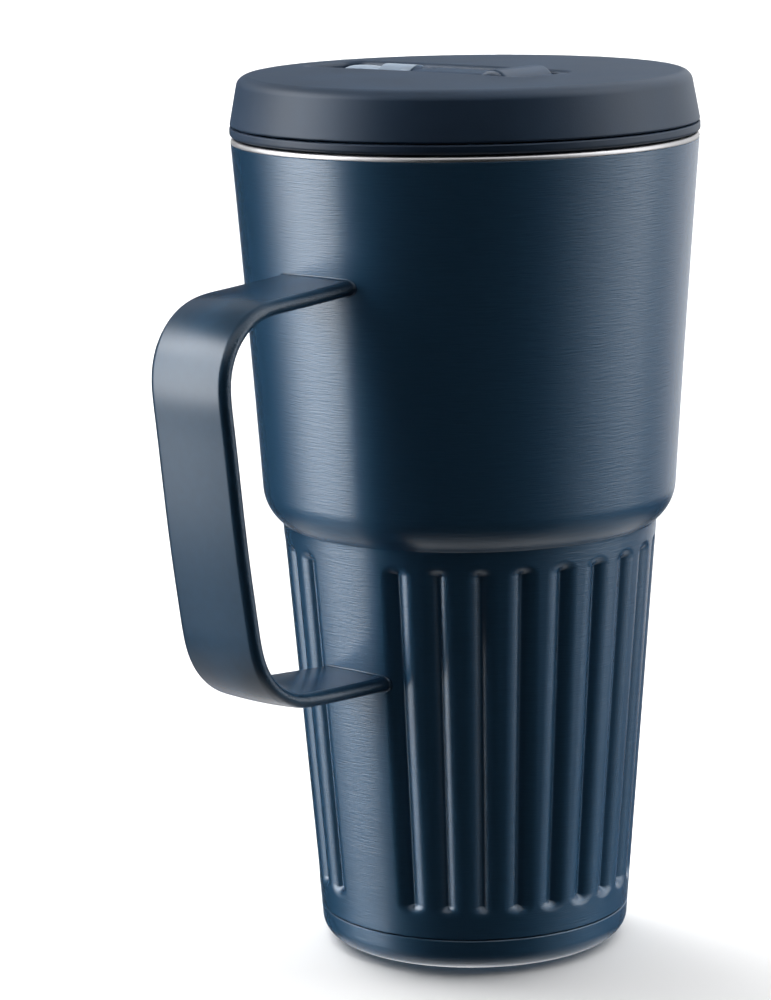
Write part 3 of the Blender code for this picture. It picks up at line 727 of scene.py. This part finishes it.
def seal_ring():
    """The seal under the spout's barrel: a ring whose top is a saddle that the barrel turns on."""
    low = ADAPTER_HIGH + GAP
    over = HINGE.z - ARM_THICK / 2 - GAP
    ring = filleted(
        (ADAPTER_R, over, 0.2 * MM), (ADAPTER_R, low, 0.3 * MM), (BORE_R, low, 0.3 * MM), (BORE_R, over)
    )
    seal = lathe("seal_ring", ring, joined=True, columns=96, centre=(0, HINGE.y))
    reach = BARREL_HALF + 2 * MM
    saddle = ((-reach, HINGE.y, HINGE.z), (reach, HINGE.y, HINGE.z))
    return smooth(boolean(seal, rod("saddle", BARREL_R + GAP, *saddle, sides=160)))


def adapter_sleeve():
    """The sleeve in the plug's port, with a collar under the plug's floor and a socket for the straw."""
    socket_r, socket_z = STRAW_R + GAP, STRAW_HIGH + GAP
    collar_r, collar_z = ADAPTER_R + COLLAR_WIDTH, PLUG_FLOOR_Z - GAP
    small = 0.3 * MM
    profile = filleted(
        (ADAPTER_R, ADAPTER_HIGH, small),
        (ADAPTER_R, collar_z, small),
        (collar_r, collar_z, small),
        (collar_r, collar_z - COLLAR_THICK, small),
        (collar_r - 2 * small, ADAPTER_LOW, small),
        (socket_r, ADAPTER_LOW, 0.1 * MM),
        (socket_r, socket_z),
        (STRAW_BORE_R, socket_z, small),
        (STRAW_BORE_R, ADAPTER_HIGH, small),
    )
    return lathe("adapter_sleeve", profile, joined=True, columns=80, centre=(0, HINGE.y))


def straw_tube():
    """The straw, with slightly rounded ends."""
    end_r = 0.2 * MM
    profile = filleted(
        (STRAW_R, STRAW_HIGH, end_r),
        (STRAW_R, STRAW_LOW, end_r),
        (STRAW_BORE_R, STRAW_LOW, end_r),
        (STRAW_BORE_R, STRAW_HIGH, end_r),
    )
    fine = divided(profile + profile[:1], 10 * MM)[:-1]
    return lathe("straw_tube", fine, joined=True, columns=64, centre=(0, HINGE.y))


def umbrella_valve():
    """A disc under the plug's floor, a stem through it and a bulb that holds it."""
    under, top = PLUG_FLOOR_Z - GAP, PLUG_FLOOR_Z + SKIRT_WALL + GAP
    stem_r = VENT_R - GAP
    profile = filleted(
        (0, top + BULB_HEIGHT),
        (BULB_TIP_R, top + 0.88 * BULB_HEIGHT, 0.6 * MM),
        (BULB_R, top, 0.3 * MM),
        (stem_r, top),
        (stem_r, under),
        (VALVE_R, under, 0.1 * MM),
        (VALVE_R, under - VALVE_EDGE, 0.2 * MM),
        (0.4 * VALVE_R, under - VALVE_THICK, 2 * MM),
        (0, under - VALVE_THICK),
    )
    return lathe("umbrella_valve", profile, columns=64, centre=(0, VENT_Y))


def rounded_ring(half_x, half_z, r, y, steps=8):
    """Points round a rounded rectangle across the spout at depth y."""
    points = []
    for side_x, side_z, start in ((1, 1, 0), (-1, 1, 90), (-1, -1, 180), (1, -1, 270)):
        points += arc((side_x * (half_x - r), side_z * (half_z - r)), r, start, start + 90, steps)
    return [(x, y, HINGE.z + z) for x, z in points]


def spout_arm():
    """The spout's one moulding: a barrel, an arm and a spigot, melted into each other."""
    half_t = ARM_THICK / 2
    rings = []
    for y, narrow, r in ARM_SECTIONS:
        inset = narrow * MM
        rings.append(rounded_ring(ARM_HALF - inset, half_t - inset, r * MM, HINGE.y + y * MM))
    arm = loft("spout_arm", rings)
    reach, bevel = BARREL_HALF, 0.7 * MM
    barrel_line = filleted((0, reach), (BARREL_R, reach, bevel), (BARREL_R, -reach, bevel), (0, -reach))
    barrel = lathe("barrel", divided(barrel_line, 2 * MM), columns=96)
    barrel.data.transform(Matrix.Translation(HINGE) @ Matrix.Rotation(math.pi / 2, 4, "Y"))
    boolean(arm, barrel, "UNION")
    spigot = ((0, ARM_END_Y - 2 * MM, HINGE.z), (0, SPIGOT_END_Y, HINGE.z))
    boolean(arm, rod("spigot", SPIGOT_R, *spigot), "UNION")
    melt = arm.modifiers.new("Melt", "REMESH")
    melt.mode = "VOXEL"
    melt.voxel_size = 0.22 * MM
    soften = arm.modifiers.new("Soften", "SMOOTH")
    soften.iterations = 6
    applied(arm)
    bore = ((0, HINGE.y - 2 * BARREL_R, HINGE.z), (0, SPIGOT_END_Y + 5 * MM, HINGE.z))
    boolean(arm, rod("bore", BORE_R, *bore))
    for side in (-1, 1):
        socket = ((side * (PIN_X[0] - GAP), HINGE.y, HINGE.z), (side * 2 * BARREL_HALF, HINGE.y, HINGE.z))
        boolean(arm, rod("socket", PIN_R + GAP, *socket, sides=32))
    return smooth(arm, weighted=False)


def mouth_sleeve():
    """The soft oval mouthpiece over the spigot: a collar, a waist, a swollen tip and a round bore."""
    start, end = ARM_END_Y + GAP, MOUTH_END_Y
    turns = np.linspace(0, 2 * math.pi, 72, endpoint=False)

    def oval(y, half_x, half_z):
        return np.column_stack([half_x * np.cos(turns), turns * 0 + y, HINGE.z + half_z * np.sin(turns)])

    rings = [oval(start + y * MM, x * MM, z * MM) for y, x, z in MOUTH_SECTIONS]
    rings += [oval(end, BORE_R + 0.1 * MM, BORE_R + 0.1 * MM), oval(end - 0.3 * MM, BORE_R, BORE_R)]
    shelf = SPIGOT_END_Y + GAP
    socket_r = SPIGOT_R + GAP
    rings += [oval(shelf, BORE_R, BORE_R), oval(shelf, socket_r, socket_r), oval(start, socket_r, socket_r)]
    return smooth(loft("mouth_sleeve", rings, joined=True))


def ground_pin(name, side):
    """A short pin with chamfered ends."""
    inner, outer = PIN_X
    line = [
        (0, outer),
        (PIN_R - PIN_CHAMFER, outer),
        (PIN_R, outer - PIN_CHAMFER),
        (PIN_R, inner + PIN_CHAMFER),
        (PIN_R - PIN_CHAMFER, inner),
        (0, inner),
    ]
    pin = lathe(name, line, columns=48)
    pin.data.transform(Matrix.Translation(HINGE) @ Matrix.Rotation(side * math.pi / 2, 4, "Y"))
    return pin


# Materials


def node(tree, kind, sockets=(), **properties):
    """A shader node of a kind such as TexNoise, with its properties set, and its sockets set to a value or
    linked to an output."""
    made = tree.nodes.new("ShaderNode" + kind)
    for key, value in properties.items():
        setattr(made, key, value)
    for key, value in dict(sockets).items():
        if isinstance(value, bpy.types.NodeSocket):
            tree.links.new(value, made.inputs[key])
        else:
            made.inputs[key].default_value = value
    return made


def maths(tree, operation, first, second=0.0):
    """One step of arithmetic on values or sockets."""
    return node(tree, "Math", {0: first, 1: second}, operation=operation).outputs[0]


def finish(name, **sockets):
    """A Principled material, its node tree and its shader."""
    made = bpy.data.materials.new(name)
    made.use_nodes = True
    shader = made.node_tree.nodes["Principled BSDF"]
    for key, value in sockets.items():
        shader.inputs[key.replace("_", " ")].default_value = value
    return made, made.node_tree, shader


def stretched(tree, scale, coords=None):
    """Coordinates, the object's own unless given, scaled by one number or by one for each axis."""
    coords = coords or node(tree, "TexCoord").outputs["Object"]
    scales = scale if isinstance(scale, tuple) else (scale, scale, scale)
    return node(tree, "Mapping", {"Vector": coords, "Scale": scales}).outputs["Vector"]


def grain(tree, scale, detail=2.0, roughness=0.5, coords=None):
    """Noise over the object, with scale as features per metre."""
    vector = stretched(tree, scale, coords)
    sockets = {"Vector": vector, "Scale": 1.0, "Detail": detail, "Roughness": roughness}
    return node(tree, "TexNoise", sockets).outputs["Fac"]


def spread(tree, value, low, high, start=0.3, stop=0.7):
    """The value, from start to stop, mapped to low to high."""
    sockets = {"Value": value, "From Min": start, "From Max": stop, "To Min": low, "To Max": high}
    return node(tree, "MapRange", sockets).outputs["Result"]


def coloured(tree, shader, value, first, second, start=0.3, stop=0.7):
    """A base colour that goes from first to second as the value goes from start to stop."""
    share = spread(tree, value, 0, 1, start, stop)
    made = node(tree, "Mix", {0: share, 6: (*first, 1), 7: (*second, 1)}, data_type="RGBA")
    tree.links.new(made.outputs[2], shader.inputs["Base Color"])


def roughened(tree, shader, *values):
    """A roughness that follows a value, as spread does."""
    tree.links.new(spread(tree, *values), shader.inputs["Roughness"])


def shade(tone, strength):
    """The colour made stronger or weaker."""
    return [c * strength for c in tone]


def bumped(tree, shader, height, distance, *sockets):
    """Relief from a height, on the named normal sockets, or on the shader's normal."""
    bump = node(tree, "Bump", {"Height": height, "Distance": distance})
    for socket in sockets or ("Normal",):
        tree.links.new(bump.outputs["Normal"], shader.inputs[socket])


NAVY = (0.026, 0.083, 0.156)
NAVY_EDGE = (0.20, 0.52, 1.0, 1.0)  # the lacquered metal's tint where it is seen edge on
BELT_LINES = (170, 170, 3300)  # per metre along X, Y and Z
BELT_WAVE = 0.9 * MM


def brushed_lines(tree):
    """Long fine lines round the wall, a little wavy, as a belt leaves them."""
    coords = node(tree, "TexCoord").outputs["Object"]
    wave = node(tree, "TexNoise", {"Vector": coords, "Scale": 110.0, "Detail": 1.0})
    sockets = {0: wave.outputs["Color"], 1: (0.0, 0.0, BELT_WAVE), 2: coords}
    waved = node(tree, "VectorMath", sockets, operation="MULTIPLY_ADD").outputs["Vector"]
    return grain(tree, BELT_LINES, 3.0, 0.6, waved)


def pebbled_edges(tree):
    """A fine pebbled skin on the strap's edges, which face along Y, and almost none on its faces."""
    normal = node(tree, "TexCoord").outputs["Normal"]
    side = maths(tree, "ABSOLUTE", node(tree, "SeparateXYZ", {"Vector": normal}).outputs["Y"])
    edge = spread(tree, side, 0.0125, 1.0, 0.35, 0.8)
    return maths(tree, "MULTIPLY", grain(tree, 2000), edge)


def lacquer(name, brushed, coat, relief, depth=1.0):
    """Translucent navy lacquer over steel: a coloured metal under a satin clear coat. Depth scales its
    colour, and below 1 it makes a darker copy of the same lacquer, which is painted shade. Relief is the
    height of its belt lines or of the pebbles on its edges."""
    made, tree, shader = finish(
        name, Metallic=0.32, Specular_IOR_Level=0.0, Specular_Tint=NAVY_EDGE,
        Anisotropic=0.7, Anisotropic_Rotation=0.25,
        Coat_Weight=coat, Coat_Roughness=0.25, Coat_IOR=1.5,
    )
    broad = grain(tree, 14)
    skin = brushed_lines(tree) if brushed else pebbled_edges(tree)
    bumped(tree, shader, skin, relief, "Normal", "Coat Normal")
    lines = skin if brushed else grain(tree, 400)
    both = maths(tree, "ADD", broad, lines)
    coloured(tree, shader, both, shade(NAVY, depth * 0.9), shade(NAVY, depth * 1.1), 0.7, 1.3)
    roughened(tree, shader, lines, 0.56, 0.64)
    return made


def bare_steel(name, tone, rough, lines_scale):
    """Bare stainless steel with fine machining lines."""
    made, tree, shader = finish(name, Metallic=1.0, Anisotropic=0.5)
    lines = grain(tree, lines_scale, 3, 0.6)
    broad = grain(tree, 30)
    coloured(tree, shader, broad, shade(tone, 0.93), tone)
    roughened(tree, shader, lines, rough * 0.8, rough * 1.25)
    bumped(tree, shader, lines, 0.01 * MM)
    return made


def moulded(name, tone, rough):
    """Moulded plastic with a fine spark-eroded texture."""
    made, tree, shader = finish(name, IOR=1.49, Specular_IOR_Level=0.3)
    fine = grain(tree, 2600)
    broad = grain(tree, 60)
    coloured(tree, shader, broad, shade(tone, 0.88), shade(tone, 1.1))
    roughened(tree, shader, broad, rough * 0.97, rough * 1.03)
    bumped(tree, shader, fine, 0.02 * MM)
    return made


def silicone(name, tone, glow):
    """Soft silicone, slightly translucent, with a dry dusty sheen."""
    made, tree, shader = finish(
        name, IOR=1.41, Sheen_Weight=0.15, Sheen_Roughness=0.5,
        Subsurface_Weight=glow, Subsurface_Scale=1.5 * MM, Subsurface_Radius=(1.0, 1.0, 1.0),
    )
    broad, fine = grain(tree, 90, 3), grain(tree, 2400)
    coloured(tree, shader, broad, shade(tone, 0.9), shade(tone, 1.08))
    roughened(tree, shader, broad, 0.5, 0.62)
    bumped(tree, shader, fine, 0.015 * MM)
    return made


def frosted(name):
    """The straw's frosted clear plastic, with faint lines along its draw."""
    made, tree, shader = finish(name, IOR=1.5, Transmission_Weight=0.75)
    draw = grain(tree, (900, 900, 25))
    coloured(tree, shader, draw, (0.74, 0.80, 0.86), (0.86, 0.90, 0.93))
    roughened(tree, shader, draw, 0.22, 0.34)
    bumped(tree, shader, draw, 0.02 * MM)
    return made


def crinkled(name):
    """Thin bright foil with creases."""
    made, tree, shader = finish(name, Metallic=1.0)
    sockets = {"Vector": stretched(tree, 160), "Scale": 1.0}
    creases = node(tree, "TexVoronoi", sockets, feature="F1").outputs["Distance"]
    coloured(tree, shader, creases, (0.88, 0.88, 0.89), (0.70, 0.70, 0.72), 0, 1)
    roughened(tree, shader, creases, 0.18, 0.3, 0, 1)
    bumped(tree, shader, creases, 0.4 * MM)
    return made


def granular(name, tone, rough, metallic, scale):
    """A pressed or fused grain: the getter's pellet and the sealing bead."""
    made, tree, shader = finish(name, Metallic=metallic)
    grains = grain(tree, scale, 4, 0.7)
    coloured(tree, shader, grains, shade(tone, 0.7), tone)
    roughened(tree, shader, grains, rough * 0.8, rough * 1.2)
    bumped(tree, shader, grains, 0.05 * MM)
    return made


def pale_floor_finish():
    """The matt floor, with faint broad unevenness."""
    made, tree, shader = finish("pale_floor", Specular_IOR_Level=0.0)
    soft = grain(tree, 1.5)
    coloured(tree, shader, soft, (0.86, 0.86, 0.86), (0.88, 0.88, 0.88), 0, 1)
    roughened(tree, shader, soft, 0.7, 0.8)
    return made


def dressed(obj, material, body, slot, *stands_for):
    """Gives a piece its material, the body it moves with and the frame's nodes it stands for. Its slot is
    not used.
    """
    obj.data.materials.clear()
    obj.data.materials.append(material)
    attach(obj, body)
    if stands_for:
        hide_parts(*stands_for)
    return obj


# Studio

CAMERA_DISTANCE = 0.900
CAMERA_HEIGHT = 0.1781  # above the crease
CAMERA_AROUND = math.radians(-48.92)
CAMERA_YAW = math.radians(-1.287)
CAMERA_PITCH = math.radians(10.957)
CAMERA_ROLL = math.radians(-0.9946)
LENS = 137.06
SENSOR_WIDTH = 36.0
FLOOR_HALF = 30.0

# Each light's level by bearing and by rise, in degrees. Bearing 0 points towards the camera, and negative
# bearings lie to its left.
LIGHTS = {
    "soft_box": (
        [(-180, 0), (-128, 0), (-116, 0.7), (-107, 2.8), (-97, 7.4), (-88, 10), (-74, 10.4), (-68, 7)]
        + [(-64, 0.3), (-55, 0), (-40, 0)],
        [(-60, 0), (-45, 0.02), (-35, 0.05), (-30, 0.06), (-26, 0.05), (-22, 0.1), (-19, 0.3), (-16, 0.9)]
        + [(-13, 1.1), (0, 1.15), (12, 1.15), (20, 1.2), (30, 1.3), (36, 1.1), (42, 0.3), (47, 0.03)]
        + [(60, 0)],
    ),
    "right_gradient": (
        [(0, 0), (30, 0.02), (40, 0.1), (50, 0.35), (60, 0.9), (70, 1.7), (80, 2.4), (95, 3), (104, 2.2)]
        + [(115, 1), (160, 0.8), (180, 0)],
        [(-60, 0), (-28, 0.02), (-22, 0.04), (-18, 0.1), (-15, 0.5), (-12, 1.5), (-4, 1.6), (30, 1.7)]
        + [(50, 1.2), (70, 0.4), (90, 0.1)],
    ),
    "high_back": (
        [(-180, 0.4), (-145, 0.8), (-130, 1.8), (-121, 3.5), (-112, 5.1), (-102, 6), (-93, 3), (-84, 0)]
        + [(150, 0), (180, 0.4)],
        [(-90, 0), (12, 0), (21, 0.6), (28, 1), (36, 1), (42, 0.3), (47, 0), (90, 0)],
    ),
    "overhead": (
        [(-180, 0.2), (-110, 0.05), (-50, 0.9), (0, 1), (60, 0.9), (180, 0.2)],
        [(-90, 0), (20, 0), (50, 2), (90, 1.2)],
    ),
    "ground": (
        [(-180, 1), (180, 1)],
        [(-90, 1), (-74, 0.8), (-60, 0.3), (-48, 0.03), (-40, 0), (90, 0)],
    ),
    "ground_sides": (
        [(-180, 2.5), (-150, 1.2), (-100, 0.9), (-70, 0.4), (-40, 0), (40, 0), (70, 0.5), (110, 0.9)]
        + [(180, 1.5)],
        [(-90, 0.6), (-45, 1), (-33, 0.8), (-25, 0), (90, 0)],
    ),
    "backdrop": (
        [(-180, 0.9), (-168, 0.5), (-158, 0), (158, 0), (168, 0.5), (180, 0.9)],
        [(-90, 1), (-2, 1), (7, 0.1), (15, 0), (90, 0)],
    ),
}
FILL = (
    [(-180, 2), (-165, 3.5), (-145, 7.5), (-125, 8), (-110, 3.8), (-92, 1.2), (-66, 0.15), (-20, 0.08)]
    + [(30, 0.08), (70, 0.35), (108, 4.4), (130, 4), (160, 2.4), (180, 2)],
    [(-90, 0), (-10, 0), (5, 1), (90, 1)],
)
AMBIENT = 0.02


def camera():
    """The camera stands to the handle's front left and looks down a little."""
    data = bpy.data.cameras.new("camera")
    data.lens = LENS
    data.sensor_width = SENSOR_WIDTH
    obj = bpy.data.objects.new("camera", data)
    bpy.context.scene.collection.objects.link(obj)
    place = Matrix.Translation((0, -CAMERA_DISTANCE, CREASE_Z + CAMERA_HEIGHT))
    level = Matrix.Rotation(-CAMERA_YAW, 4, "Z") @ Matrix.Rotation(math.pi / 2 - CAMERA_PITCH, 4, "X")
    aim = level @ Matrix.Rotation(CAMERA_ROLL, 4, "Z")
    obj.matrix_world = Matrix.Rotation(CAMERA_AROUND, 4, "Z") @ place @ aim
    bpy.context.scene.camera = obj


def floor():
    """A wide pale floor that only the camera sees, and that takes the mug's soft shadow."""
    corners = [(x * FLOOR_HALF, y * FLOOR_HALF, 0) for x, y in ((-1, -1), (1, -1), (1, 1), (-1, 1))]
    obj = new_object("floor", corners, [(0, 1, 2, 3)])
    obj.data.materials.append(pale_floor_finish())
    obj.visible_glossy = False
    obj.visible_diffuse = False


def band(tree, value, points):
    """A smooth function of value through (position, level) points."""
    curve = node(tree, "FloatCurve")
    low, high = points[0][0], points[-1][0]
    top = max(level for _, level in points)
    tree.links.new(spread(tree, value, 0, 1, low, high), curve.inputs["Value"])
    line = curve.mapping.curves[0]
    places = [((position - low) / (high - low), level / top) for position, level in points]
    line.points[0].location, line.points[-1].location = places[0], places[-1]
    for place in places[1:-1]:
        line.points.new(*place)
    for point in line.points:
        point.handle_type = "AUTO_CLAMPED"
    curve.mapping.update()
    return maths(tree, "MULTIPLY", curve.outputs[0], top)


def light(tree, bearing, rise, curves):
    """A light's level in each direction: its curve by bearing times its curve by rise."""
    by_bearing, by_rise = curves
    return maths(tree, "MULTIPLY", band(tree, bearing, by_bearing), band(tree, rise, by_rise))


def studio():
    """Soft light by direction, all of it from the world. Reflections see the lights, matt surfaces see a
    smoother fill, and the camera sees plain white."""
    world = bpy.data.worlds.new("studio")
    bpy.context.scene.world = world
    world.use_nodes = True
    world.cycles.sampling_method = "NONE"
    tree = world.node_tree
    tree.nodes.clear()
    direction = node(tree, "TexCoord").outputs["Generated"]
    sockets = {"Vector": direction, "Angle": -CAMERA_AROUND}
    turned = node(tree, "VectorRotate", sockets, rotation_type="Z_AXIS").outputs["Vector"]
    axes = node(tree, "SeparateXYZ", {"Vector": turned}).outputs
    ahead = maths(tree, "MULTIPLY", axes["Y"], -1.0)
    bearing = maths(tree, "MULTIPLY", maths(tree, "ARCTAN2", axes["X"], ahead), math.degrees(1))
    rise = maths(tree, "MULTIPLY", maths(tree, "ARCSINE", axes["Z"]), math.degrees(1))
    reflected = AMBIENT
    for curves in LIGHTS.values():
        reflected = maths(tree, "ADD", light(tree, bearing, rise, curves), reflected)
    fill = light(tree, bearing, rise, FILL)
    path = node(tree, "LightPath").outputs
    sockets = {"Factor": path["Is Diffuse Ray"], "A": reflected, "B": fill}
    lit = node(tree, "Mix", sockets, data_type="FLOAT").outputs[0]
    sockets = {"Factor": path["Is Camera Ray"], "A": lit, "B": 1.0}
    seen = node(tree, "Mix", sockets, data_type="FLOAT").outputs[0]
    background = node(tree, "Background", {"Strength": seen})
    output = node(tree, "OutputWorld")
    tree.links.new(background.outputs[0], output.inputs["Surface"])


# The build

bpy.context.scene.view_settings.view_transform = "Standard"
camera()
studio()
floor()

wall_lacquer = lacquer("wall_lacquer", brushed=True, coat=1.0, relief=0.05 * MM)
# The strap's lacquer is the wall's navy darkened to 0.55 of its colour: painted shade on the same paint.
strap_shaded_lacquer = lacquer("strap_shaded_lacquer", brushed=False, coat=0.75, relief=0.16 * MM, depth=0.55)
liner_steel = bare_steel("liner_steel", (0.36, 0.36, 0.37), 0.38, (60, 60, 1500))
pin_steel = bare_steel("pin_steel", (0.62, 0.62, 0.63), 0.22, 900)
plate_steel = bare_steel("plate_steel", (0.60, 0.60, 0.61), 0.3, 700)
plug_plastic = moulded("plug_plastic", (0.014, 0.034, 0.068), 0.46)
cover_plastic = moulded("cover_plastic", (0.015, 0.038, 0.076), 0.46)
spout_plastic = moulded("spout_plastic", (0.020, 0.050, 0.100), 0.38)
grey_silicone = silicone("grey_silicone", (0.52, 0.55, 0.58), 0.3)
mouth_silicone = silicone("mouth_silicone", (0.18, 0.25, 0.34), 0.2)
pad_silicone = silicone("pad_silicone", (0.03, 0.04, 0.06), 0.0)
straw_plastic = frosted("straw_plastic")

dressed(outer_wall(), wall_lacquer, "vessel", "body_lacquer", "outer_shell")
dressed(base_cup(), wall_lacquer, "vessel", "body_lacquer", "outer_base")
dressed(steel_liner(), liner_steel, "vessel", "vessel_steel", "inner_vessel")
dressed(ribbed_pad(), pad_silicone, "vessel", "pad_silicone", "base_pad")
dressed(strap_handle(), strap_shaded_lacquer, "vessel", "handle_lacquer", "handle_strap")
dressed(gasket_ring(), grey_silicone, "lid_ring", "seal_silicone", "lid_gasket")
dressed(lid_plug(), plug_plastic, "lid", "plug_plastic", "lid_base")
dressed(cover_shell(), cover_plastic, "lid", "cover_plastic", "lid_cover")
dressed(seal_ring(), grey_silicone, "lid", "seal_silicone", "spout_seal")
dressed(adapter_sleeve(), grey_silicone, "lid", "adapter_silicone", "straw_adapter")
dressed(straw_tube(), straw_plastic, "lid", "straw_plastic", "straw")
dressed(umbrella_valve(), grey_silicone, "lid", "seal_silicone", "vent_valve")
dressed(ground_pin("pin_left", -1), pin_steel, "lid", "pin_steel", "hinge_pin_left")
dressed(ground_pin("pin_right", 1), pin_steel, "lid", "pin_steel", "hinge_pin_right")
dressed(spout_arm(), spout_plastic, "spout", "spout_plastic", "spout")
dressed(mouth_sleeve(), mouth_silicone, "spout", "mouth_silicone", "mouthpiece")

kept = {
    "radiation_foil": crinkled("foil_metal"),
    "getter": granular("getter_metal", (0.25, 0.25, 0.26), 0.6, 1.0, 2500),
    "vacuum_plug": granular("sealing_glass", (0.35, 0.38, 0.40), 0.25, 0.0, 1200),
    "base_plate": plate_steel,
}
for name, material in kept.items():
    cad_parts[name].data.materials.clear()
    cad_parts[name].data.materials.append(material)
